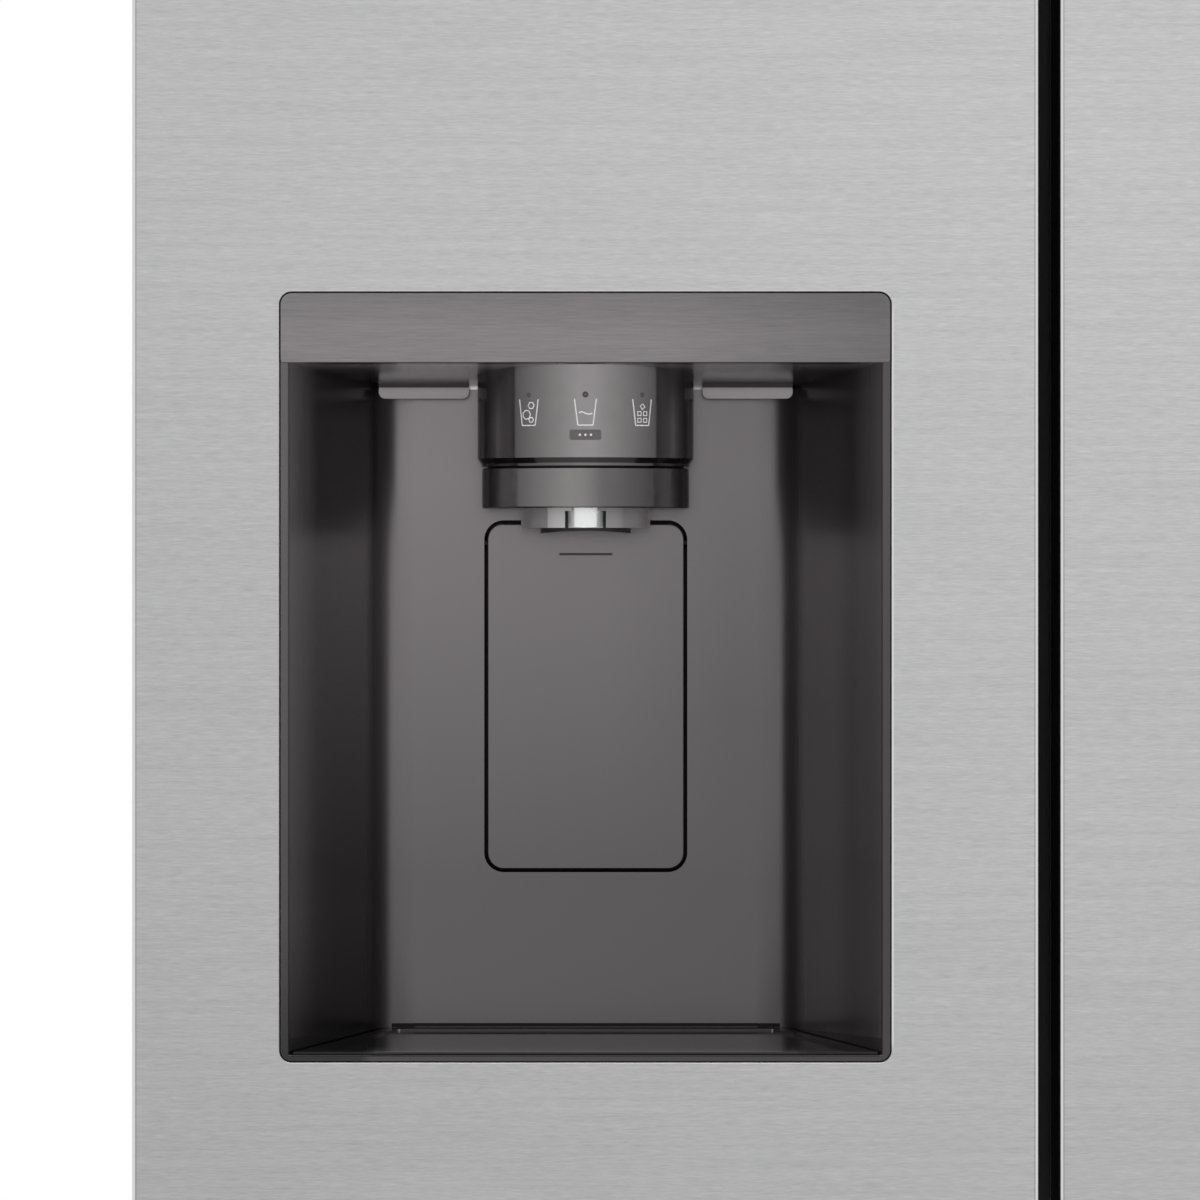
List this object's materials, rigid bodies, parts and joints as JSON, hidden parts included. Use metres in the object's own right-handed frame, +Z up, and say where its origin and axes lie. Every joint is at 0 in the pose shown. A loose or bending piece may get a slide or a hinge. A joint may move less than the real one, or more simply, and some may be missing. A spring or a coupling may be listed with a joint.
{
  "type": "side by side refrigerator",
  "caption": "Upright cabinet with a narrow freezer door and a wide refrigerator door; the freezer door has a recessed ice and water dispenser.",
  "frame": {"origin": "floor level under the middle of the appliance, doors included", "axes": "+Z up, doors face -Y, +X to the right of someone facing the doors"},
  "size_m": [0.908, 0.814, 1.77],
  "materials": {
    "steel_front": "fine brushed, satin",
    "case_paint": "fine grained grey paint",
    "plated_steel": "plain plated sheet",
    "black_steel": "satin black paint",
    "foam": "rigid insulating foam",
    "white_liner": "semi-gloss moulded",
    "grey_plastic": "matt moulded",
    "black_plastic": "matt moulded",
    "dispenser_plastic": "semi-gloss dark grey",
    "dispenser_trim": "dark brushed strip",
    "head_gloss": "high gloss",
    "ring_satin": "satin dark metal",
    "deflector_satin": "satin silver grey",
    "bright_chrome": "polished",
    "lamp_lens": "frosted",
    "lamp_tab": "satin tinted lens",
    "gasket_grey": "soft matt",
    "clear_plastic": "clear moulded",
    "shelf_glass": "clear tempered",
    "ice_white": "semi-gloss moulded",
    "aluminium_coil": "mill finish",
    "valve_body": "matt moulded"
  },
  "bodies": {
    "cabinet": {"left_side_panel": "case_paint", "right_side_panel": "case_paint", "top_panel": "case_paint", "back_panel": "plated_steel", "cabinet_foam": "foam", "freezer_liner": "white_liner", "fridge_liner": "white_liner", "centre_rail": "black_steel", "base_frame": "black_steel", "kick_grille": "black_plastic", "levelling_feet": "black_plastic", "compressor": "black_steel", "condenser_coil": "black_steel", "condenser_fan_frame": "grey_plastic", "drain_pan": "black_plastic", "water_valve": "valve_body", "machine_cover": "plated_steel", "evaporator_cover": "white_liner", "evaporator_coil": "aluminium_coil", "freezer_shelves": "clear_plastic", "freezer_drawers": "clear_plastic", "fridge_shelf_frames": "white_liner", "fridge_shelves": "shelf_glass", "crisper_drawers": "clear_plastic", "interior_lamps": "lamp_lens", "top_hinges": "plated_steel", "hinge_covers": "grey_plastic", "bottom_hinges": "black_steel"},
    "freezer_door": {"freezer_door_skin": "steel_front", "freezer_door_foam": "foam", "freezer_door_liner": "white_liner", "freezer_door_caps": "grey_plastic", "freezer_door_gasket": "gasket_grey", "freezer_door_grip": "grey_plastic", "freezer_door_bins": "clear_plastic", "dispenser_housing": "dispenser_plastic", "dispenser_fascia": "dispenser_trim", "dispenser_head": "head_gloss", "dispenser_head_ring": "ring_satin", "nozzle_deflector": "deflector_satin", "water_nozzle": "bright_chrome", "ice_chute": "black_plastic", "dispenser_lamps": "lamp_tab", "drip_tray": "dispenser_plastic", "ice_bin": "ice_white", "ice_maker": "ice_white"},
    "fridge_door": {"fridge_door_skin": "steel_front", "fridge_door_foam": "foam", "fridge_door_liner": "white_liner", "fridge_door_caps": "grey_plastic", "fridge_door_gasket": "gasket_grey", "fridge_door_grip": "grey_plastic", "fridge_door_bins": "clear_plastic"},
    "left_roller": {"rear_roller_left": "black_plastic"},
    "right_roller": {"rear_roller_right": "black_plastic"},
    "condenser_fan_wheel": {"condenser_fan": "black_plastic"},
    "evaporator_fan_wheel": {"evaporator_fan": "grey_plastic"},
    "paddle": {"dispenser_paddle": "dispenser_plastic"},
    "chute_flap": {"ice_chute_flap": "black_plastic"},
    "auger": {"ice_auger": "plated_steel"}
  },
  "joints": [
    {"name": "freezer_door_swing", "type": "hinge", "parent": "cabinet", "child": "freezer_door", "pos_m": [-0.432, -0.362, 0.9], "axis": [0, 0, -1], "range_deg": [0, 120]},
    {"name": "fridge_door_swing", "type": "hinge", "parent": "cabinet", "child": "fridge_door", "pos_m": [0.432, -0.362, 0.9], "axis": [0, 0, 1], "range_deg": [0, 120]},
    {"name": "paddle_press", "type": "hinge", "parent": "freezer_door", "child": "paddle", "pos_m": [-0.2584, -0.305, 1.2252], "axis": [1, 0, 0], "range_deg": [0, 5], "stiffness_Nm_per_rad": 2},
    {"name": "chute_flap_open", "type": "hinge", "parent": "freezer_door", "child": "chute_flap", "pos_m": [-0.2584, -0.309, 1.3411], "axis": [-1, 0, 0], "range_deg": [0, 55], "stiffness_Nm_per_rad": 0.05, "springref_deg": -17.19},
    {"name": "auger_turn", "type": "hinge", "parent": "freezer_door", "child": "auger", "pos_m": [-0.2506, -0.267, 1.454], "axis": [1, 0, 0], "continuous": true},
    {"name": "evaporator_fan_turn", "type": "hinge", "parent": "cabinet", "child": "evaporator_fan_wheel", "pos_m": [-0.2451, 0.284, 1.48], "axis": [0, 1, 0], "continuous": true},
    {"name": "condenser_fan_turn", "type": "hinge", "parent": "cabinet", "child": "condenser_fan_wheel", "pos_m": [-0.03, 0.291, 0.134], "axis": [1, 0, 0], "continuous": true},
    {"name": "left_roller_turn", "type": "hinge", "parent": "cabinet", "child": "left_roller", "pos_m": [-0.43, 0.345, 0.02], "axis": [1, 0, 0], "continuous": true},
    {"name": "right_roller_turn", "type": "hinge", "parent": "cabinet", "child": "right_roller", "pos_m": [0.43, 0.345, 0.02], "axis": [1, 0, 0], "continuous": true}
  ]
}
